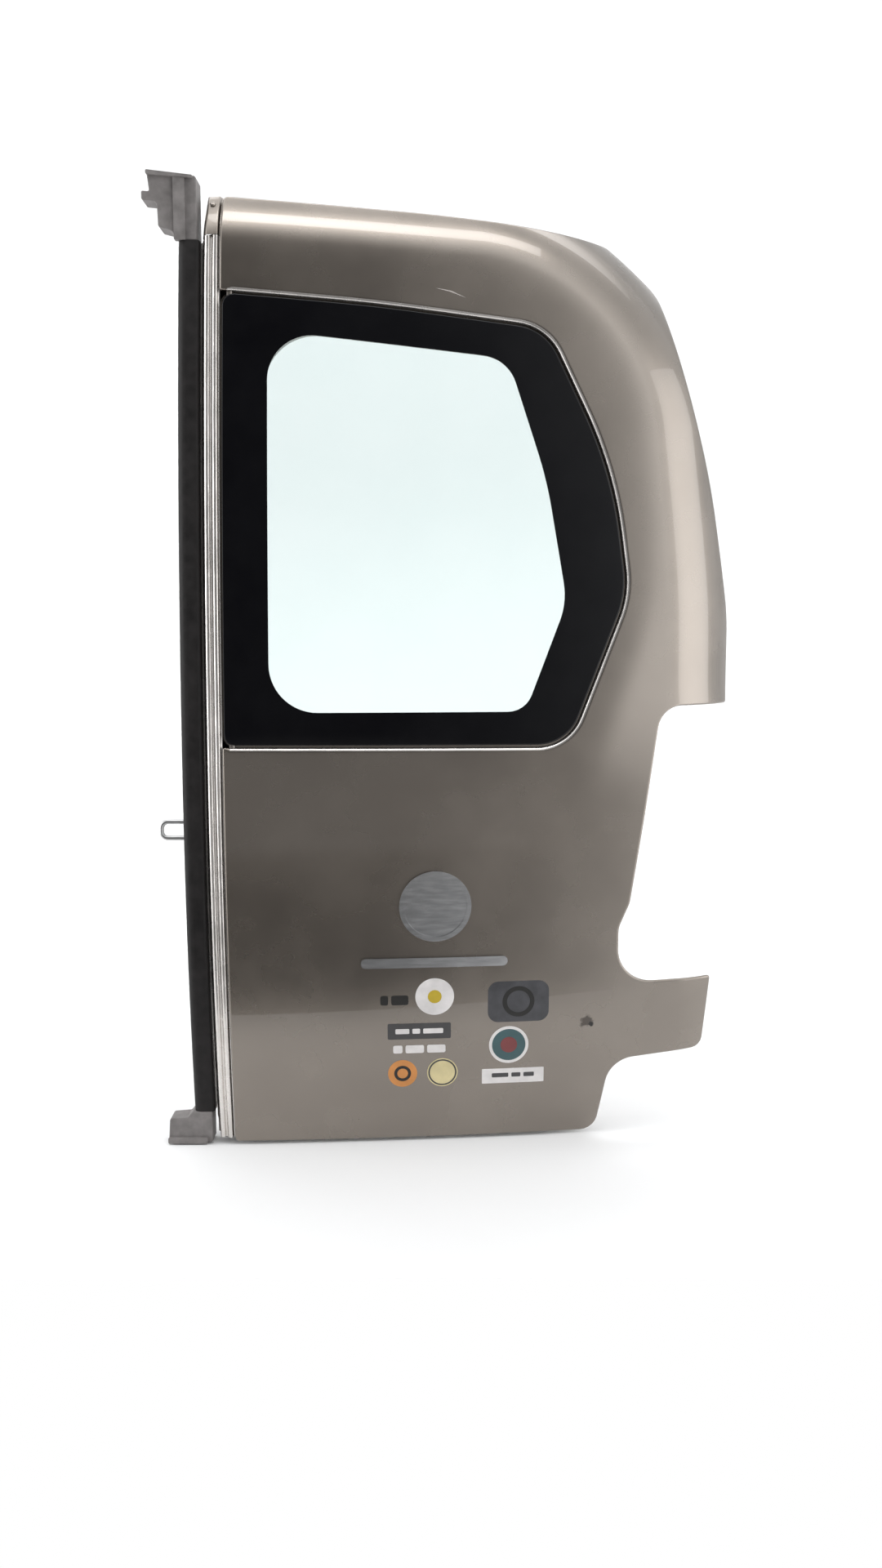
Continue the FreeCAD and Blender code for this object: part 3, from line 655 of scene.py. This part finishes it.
def paint_recess_highlight(obj, recess):
    """Lighter paint, a painted highlight, on the outward faces of the rolled edge round the window."""
    obj.data.materials.append(EDGE_HIGHLIGHT_PAINT)
    places = face_places(obj)
    highlight_faces = inside(places, outline(grown_corners(recess, RECESS_HIGHLIGHT_REACH)))
    highlight_faces &= ~inside(places, outline(grown_corners(recess, -0.5 * REACH)))
    highlight_faces &= places[:, 0] > RECESS_HIGHLIGHT_FROM
    for polygon, is_highlight_face in zip(obj.data.polygons, highlight_faces):
        if is_highlight_face and polygon.normal.y < 0.1:
            polygon.material_index = 1


def make_skin():
    """Painted skin with rolled edges all round, hem behind, and the open recess for the glass."""
    recess = grown_corners(GLASS_CORNERS, GLASS_GAP)
    low, high = recess[0][1], recess[1][1]
    bay = [(0.0, low, BAY_CORNER_RADIUS)] + recess[:1:-1] + [(0.0, high, BAY_CORNER_RADIUS)]
    loop = outline(DOOR_CORNERS[-1:] + bay + DOOR_CORNERS[:-1])
    skin = Surface()
    radius = edge_radius(loop, recess)
    rows = [(radius + EDGE_LAND, 0.0 * radius)]
    for angle in (math.radians(degrees) for degrees in ROLL_DEGREES):
        rows.append((radius * (1 - math.sin(angle)), radius * (1 - math.cos(angle))))
    rows.append((0.0 * radius, np.maximum(radius, HEM_BACK - HEM_CORNER)))
    rows += [(HEM_CORNER, HEM_BACK), (HEM_WIDTH, HEM_BACK), (HEM_WIDTH, HEM_BACK - SHEET)]
    loops = [inset_loop(loop, inset) for inset, _ in rows]
    skin.sheet([loops[0]], 0.0, FIELD_STEP)
    for i in range(len(rows) - 1):
        skin.strip(loops[i], rows[i][1], loops[i + 1], rows[i + 1][1])
    skin.sheet([loops[0]], SHEET, BACK_STEP, facing_out=False)
    tray = outline([(max(x, RECESS_LEFT), z, r) for x, z, r in recess])
    clear = outline(grown_corners(CLEAR_CORNERS, APERTURE_MARGIN))
    skin.strip(tray, edge_radius(tray, recess), tray, RECESS_FLOOR)
    skin.sheet([tray, clear], RECESS_FLOOR, BACK_STEP)
    skin.strip(clear, RECESS_FLOOR, clear, RECESS_FLOOR + SHEET)
    skin.sheet([tray, clear], RECESS_FLOOR + SHEET, BACK_STEP, facing_out=False)
    obj = skin.build("painted_skin", PAINT)
    # Painted highlight: lighter paint on the rolled edge round the window
    paint_recess_highlight(obj, recess)
    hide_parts("outer_skin")


def make_glass():
    """Pane with rounded edges, clear in the middle and printed black round it."""
    loop = outline(GLASS_CORNERS)
    clear = outline(CLEAR_CORNERS)
    pane = Surface()
    inner = inset_loop(loop, GLASS_EDGE)
    field = inset_loop(loop, 2 * GLASS_EDGE)
    for behind, facing_out in ((GLASS_FRONT, True), (GLASS_BACK, False)):
        pane.sheet([clear], behind, GLASS_STEP, facing_out)
        pane.sheet([field, clear], behind, GLASS_STEP, facing_out)
    pane.strip(field, GLASS_FRONT, inner, GLASS_FRONT)
    pane.strip(inner, GLASS_FRONT, loop, GLASS_FRONT + GLASS_EDGE)
    pane.strip(loop, GLASS_FRONT + GLASS_EDGE, loop, GLASS_BACK - GLASS_EDGE)
    pane.strip(loop, GLASS_BACK - GLASS_EDGE, inner, GLASS_BACK)
    pane.strip(inner, GLASS_BACK, field, GLASS_BACK)
    obj = pane.build("window_pane", GLASS)
    obj.data.materials.append(FRIT)
    for polygon, is_clear in zip(obj.data.polygons, inside(face_places(obj), clear)):
        polygon.material_index = 0 if is_clear else 1
    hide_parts("window_glass")


# Plain decals on the lower panel

def vinyl_material(name, color, fade=0.8):
    """Printed film, faded in places."""
    dark = tuple(c * fade for c in color)
    material, _ = varied(name, dark, color, 0.38, scale=45.0)
    return material


def rectangle_corners(x, z, width, height, radius):
    """Corners of an upright rectangle about x and z, clockwise."""
    left, right, low, high = x - width / 2, x + width / 2, z - height / 2, z + height / 2
    return [(left, low, radius), (left, high, radius), (right, high, radius), (right, low, radius)]


def disc_corners(x, z, radius):
    """Square whose rounded corners all but meet."""
    return rectangle_corners(x, z, 2 * radius, 2 * radius, radius * 0.999)


def add_decal(name, corners, material, layer=1):
    """Thin film on the skin; a higher layer lies on a lower one."""
    loop = outline(corners, FILM_SPACING)
    film = Surface()
    film.sheet([loop], -layer * FILM, FILM_STEP)
    film.build(name, material)


def add_ring(name, x, z, outer, inner, material):
    """Thin ring that lies on a decal."""
    loops = [outline(disc_corners(x, z, r), DETAIL_SPACING) for r in (outer, inner)]
    film = Surface()
    film.sheet(loops, -2 * FILM, DETAIL_STEP)
    film.build(name, material)


def add_dashes(name, x, z, lengths, height, material):
    """Row of plain bars, centred on x, in place of lettering."""
    left = x - 0.5 * (sum(lengths) + BAR_GAP * (len(lengths) - 1))
    film = Surface()
    for length in lengths:
        corners = rectangle_corners(left + length / 2, z, length, height, 0.2 * height)
        film.sheet([outline(corners, DETAIL_SPACING)], -2 * FILM, DETAIL_STEP)
        left += length + BAR_GAP
    film.build(name, material)


def make_decals():
    """Plain discs, rings and bars in two columns, of the colours and scale that such stickers have."""
    cream = vinyl_material("vinyl_cream", (0.72, 0.62, 0.34))
    white = vinyl_material("vinyl_white", (0.80, 0.77, 0.76))
    orange = vinyl_material("vinyl_orange", (0.66, 0.27, 0.07))
    teal = vinyl_material("vinyl_teal", (0.05, 0.11, 0.12))
    red = vinyl_material("vinyl_red", (0.22, 0.05, 0.05))
    yellow = vinyl_material("vinyl_yellow", (0.58, 0.42, 0.03))
    charcoal = vinyl_material("vinyl_charcoal", (0.060, 0.058, 0.060))
    faded = vinyl_material("vinyl_faded", (0.070, 0.070, 0.078), 0.6)
    black = vinyl_material("vinyl_black", (0.012, 0.011, 0.010))
    left = LEFT_COLUMN
    right = RIGHT_COLUMN
    add_decal("decal_faded_panel", rectangle_corners(right, 0.190, 0.080, 0.056, 0.014), faded)
    add_ring("decal_faded_ring", right, 0.190, 0.021, 0.015, black)
    add_decal("decal_white_disc", disc_corners(left + 0.020, 0.200, 0.025), white)
    add_decal("decal_yellow_dot", disc_corners(left + 0.020, 0.200, 0.009), yellow, 2)
    add_dashes("decal_black_dashes", left - 0.032, 0.196, (0.010, 0.022), 0.013, black)
    add_decal("decal_charcoal_bar", rectangle_corners(left, 0.153, 0.082, 0.022, 0.002), charcoal)
    add_dashes("decal_charcoal_dashes", left, 0.153, (0.018, 0.010, 0.026), 0.007, white)
    add_dashes("decal_pale_dashes", left, 0.128, (0.012, 0.024, 0.024), 0.011, white)
    add_decal("decal_orange_disc", disc_corners(left - 0.022, 0.094, 0.019), orange)
    add_ring("decal_orange_ring", left - 0.022, 0.094, 0.011, 0.007, black)
    add_decal("decal_cream_disc", disc_corners(left + 0.030, 0.094, 0.020), cream)
    add_ring("decal_cream_ring", left + 0.030, 0.094, 0.0185, 0.0165, charcoal)
    add_decal("decal_round_border", disc_corners(right - 0.012, 0.130, 0.026), white)
    add_decal("decal_round_teal", disc_corners(right - 0.012, 0.130, 0.022), teal, 2)
    add_decal("decal_round_red", disc_corners(right - 0.012, 0.130, 0.011), red, 3)
    add_decal("decal_white_bar", rectangle_corners(right - 0.006, 0.086, 0.082, 0.021, 0.001), white)
    add_dashes("decal_grey_dashes", right - 0.006, 0.087, (0.022, 0.012, 0.014), 0.006, charcoal)


def make_scratch():
    """Pale scratch above the window, thinner towards its ends."""
    pale = vinyl_material("scratch_pale", (0.50, 0.46, 0.43))
    add_decal("scratch_above_window", [
        (0.262, 1.0905, 0.1 * MM), (0.284, 1.0870, 20 * MM), (0.305, 1.0775, 0.1 * MM),
        (0.283, 1.0855, 20 * MM)], pale)


# Fasteners and sealing

def add_domes(name, seats, head, material, sides=20):
    """Round heads of one size; seats are (point, direction)."""
    radius, height = head
    verts, faces = [], []
    for point, direction in seats:
        across = direction.orthogonal().normalized()
        up = direction.cross(across)
        base = len(verts)
        rings = [(1.0, -0.1), (1.0, 0.35), (0.93, 0.62), (0.75, 0.84), (0.4, 0.97)]
        for share, rise in rings:
            for k in range(sides):
                angle = 2 * math.pi * k / sides
                out = (across * math.cos(angle) + up * math.sin(angle)) * (radius * share)
                verts.append(point + out + direction * (height * rise))
        for ring in range(len(rings) - 1):
            for k in range(sides):
                a, b = base + ring * sides + k, base + ring * sides + (k + 1) % sides
                faces.append((a, b, b + sides, a + sides))
        faces.append(tuple(base + (len(rings) - 1) * sides + k for k in range(sides)))
    add_object(name, verts, faces, material)


def make_fasteners():
    """Screw heads of the latches, the lever bezel and the striker, and the plug in the edge tongue."""
    def inner_seat(x, z, rise):
        return on_skin(x, z, PAN_DEPTH + rise, base_depth), inward(base_depth, x, z)

    latch = [inner_seat(LATCH_X + x, z + dz, LATCH_RISE)
             for z in LATCH_HEIGHTS for x, dz in LATCH_SCREWS]
    add_domes("latch_screws", latch, LATCH_HEAD, ZINC)
    bezel = [inner_seat(LATCH_X, LEVER_Z + dz, LEVER_BEZEL_RISE)
             for dz in (-LEVER_SCREW_REACH, LEVER_SCREW_REACH)]
    add_domes("bezel_screws", bezel, LEVER_HEAD, BLACK_PLASTIC)
    depth = base_depth(PAN_LEFT, STRIKER_Z) + STRIKER_BEHIND_SKIN
    outward = Vector((-1.0, 0.0, 0.0))
    striker = [(Vector((PAN_LEFT - STRIKER_SHEET, depth, STRIKER_Z + dz)) - ORIGIN, outward)
               for dz in (-STRIKER_SCREW_REACH, STRIKER_SCREW_REACH)]
    add_domes("striker_screws", striker, STRIKER_HEAD, ZINC)
    x, z = TONGUE_PLUG
    plug = Vector((x, skin_depth(0.0, z) + TONGUE_PLUG_BEHIND_SKIN, z)) - ORIGIN
    seats = [(plug, -inward(skin_depth, 0.0, z))]
    add_domes("tongue_plug", seats, TONGUE_PLUG_HEAD, PAINT)


def make_hem_sealant():
    """Painted bead of sealant over the folded edge, on the inner side; rows are (inset, depth)."""
    loop = outline(DOOR_CORNERS)
    bead = Surface()
    rows = [(HEM_WIDTH - 3.5 * MM, HEM_BACK), (HEM_WIDTH - 2.0 * MM, HEM_BACK + 0.7 * MM),
            (HEM_WIDTH + 0.5 * MM, HEM_BACK + 0.5 * MM), (HEM_WIDTH + 3.0 * MM, FLANGE_BACK)]
    loops = [inset_loop(loop, inset) for inset, _ in rows]
    for i in range(len(rows) - 1):
        bead.strip(loops[i], rows[i][1], loops[i + 1], rows[i + 1][1])
    bead.build("hem_sealant", INNER_PAINT)


# Stage, light and camera

def make_stage():
    """Pale floor that bends up into the backdrop."""
    floor_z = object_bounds()[0][2] - FLOOR_GAP
    profile = [(FLOOR_FRONT, 0.0)]
    steps = 12
    for k in range(steps + 1):
        angle = math.radians(90 * k / steps)
        profile.append((SWEEP_BACK + SWEEP_BEND * math.sin(angle), SWEEP_BEND * (1 - math.cos(angle))))
    profile.append((SWEEP_BACK + SWEEP_BEND, SWEEP_HEIGHT))
    verts = []
    for y, z in profile:
        verts += [(-SWEEP_HALF_WIDTH, y, floor_z + z), (SWEEP_HALF_WIDTH, y, floor_z + z)]
    faces = [(2 * i, 2 * i + 1, 2 * i + 3, 2 * i + 2) for i in range(len(profile) - 1)]
    mesh = bpy.data.meshes.new("studio_sweep")
    mesh.from_pydata(verts, [], faces)
    for polygon in mesh.polygons:
        polygon.use_smooth = True
    pale, _ = varied("studio_pale", (0.87, 0.87, 0.87), (0.89, 0.89, 0.89), 0.8, scale=1.0)
    mesh.materials.append(pale)
    obj = bpy.data.objects.new("studio_sweep", mesh)
    bpy.context.collection.objects.link(obj)


def area_light(name, place, target, size, power, spread):
    """Rectangular light that faces its target."""
    light = bpy.data.lights.new(name, "AREA")
    light.shape = "RECTANGLE"
    light.size, light.size_y = size
    light.energy = power
    light.spread = math.radians(spread)
    obj = bpy.data.objects.new(name, light)
    obj.location = place
    obj.rotation_euler = (Vector(target) - Vector(place)).to_track_quat("-Z", "Y").to_euler()
    bpy.context.collection.objects.link(obj)


def make_world():
    """Soft white dome with a tall dark cone in front, so that the flat of the paint and the glass stay dark
    and the skin brightens outside the shoulder crease, and a pale band near the ground. Seen straight or
    through the glass it is plain."""
    world = bpy.data.worlds.new("studio_world")
    bpy.context.scene.world = world
    world.use_nodes = True
    nodes, links = world.node_tree.nodes, world.node_tree.links
    direction = nodes.new("ShaderNodeTexCoord")
    flattened = nodes.new("ShaderNodeMapping")
    flattened.vector_type = "NORMAL"
    flattened.inputs["Scale"].default_value = (DOME_HEIGHT_SHARE, DOME_HEIGHT_SHARE, 1.0)
    links.new(direction.outputs["Generated"], flattened.inputs["Vector"])
    frontal = nodes.new("ShaderNodeVectorMath")
    frontal.operation = "DOT_PRODUCT"
    frontal.inputs[1].default_value = DOME_DARK_MIDDLE
    links.new(flattened.outputs["Vector"], frontal.inputs[0])
    cool = [(place, (0.98 * c, 0.99 * c, c)) for place, c in DOME_SHADES]
    dome = ramp(world, frontal.outputs["Value"], cool)
    height = nodes.new("ShaderNodeSeparateXYZ")
    links.new(direction.outputs["Generated"], height.inputs["Vector"])
    low = nodes.new("ShaderNodeMapRange")
    low.inputs["From Min"].default_value = GROUND_HEIGHTS[0]
    low.inputs["From Max"].default_value = GROUND_HEIGHTS[1]
    links.new(height.outputs["Z"], low.inputs["Value"])
    warm = [(place, (c, 0.99 * c, 0.98 * c)) for place, c in GROUND_SHADES]
    ground = ramp(world, low.outputs["Result"], warm)
    lit = nodes.new("ShaderNodeMix")
    lit.data_type = "RGBA"
    lit.blend_type = "LIGHTEN"
    lit.inputs["Factor"].default_value = 1.0
    links.new(dome, lit.inputs["A"])
    links.new(ground, lit.inputs["B"])
    ray = nodes.new("ShaderNodeLightPath")
    seen = nodes.new("ShaderNodeMath")
    seen.operation = "MAXIMUM"
    links.new(ray.outputs["Is Camera Ray"], seen.inputs[0])
    links.new(ray.outputs["Is Transmission Ray"], seen.inputs[1])
    mix = nodes.new("ShaderNodeMix")
    mix.data_type = "RGBA"
    links.new(seen.outputs["Value"], mix.inputs["Factor"])
    links.new(lit.outputs["Result"], mix.inputs["A"])
    mix.inputs["B"].default_value = (PLAIN_SHADE, PLAIN_SHADE, PLAIN_SHADE, 1.0)
    links.new(mix.outputs["Result"], nodes["Background"].inputs["Color"])
    nodes["Background"].inputs["Strength"].default_value = DOME_STRENGTH


def make_lights():
    """Dome and soft lights, shown without a film look."""
    bpy.context.scene.view_settings.view_transform = "Standard"
    make_world()
    for light in LIGHTS:
        area_light(*light)


def make_camera():
    """Camera where the photo was taken from."""
    data = bpy.data.cameras.new("camera")
    data.sensor_width = SENSOR
    data.lens = FOCAL_LENGTH_PIXELS / PHOTO_LONG_SIDE_PIXELS * SENSOR
    obj = bpy.data.objects.new("camera", data)
    obj.location = Vector(CAMERA_PLACE) - ORIGIN
    obj.rotation_euler = (CAMERA_PITCH, 0.0, 0.0)
    bpy.context.collection.objects.link(obj)
    bpy.context.scene.camera = obj


dress_nodes()
make_skin()
make_glass()
make_decals()
make_scratch()
make_fasteners()
make_hem_sealant()
make_stage()
make_lights()
make_camera()
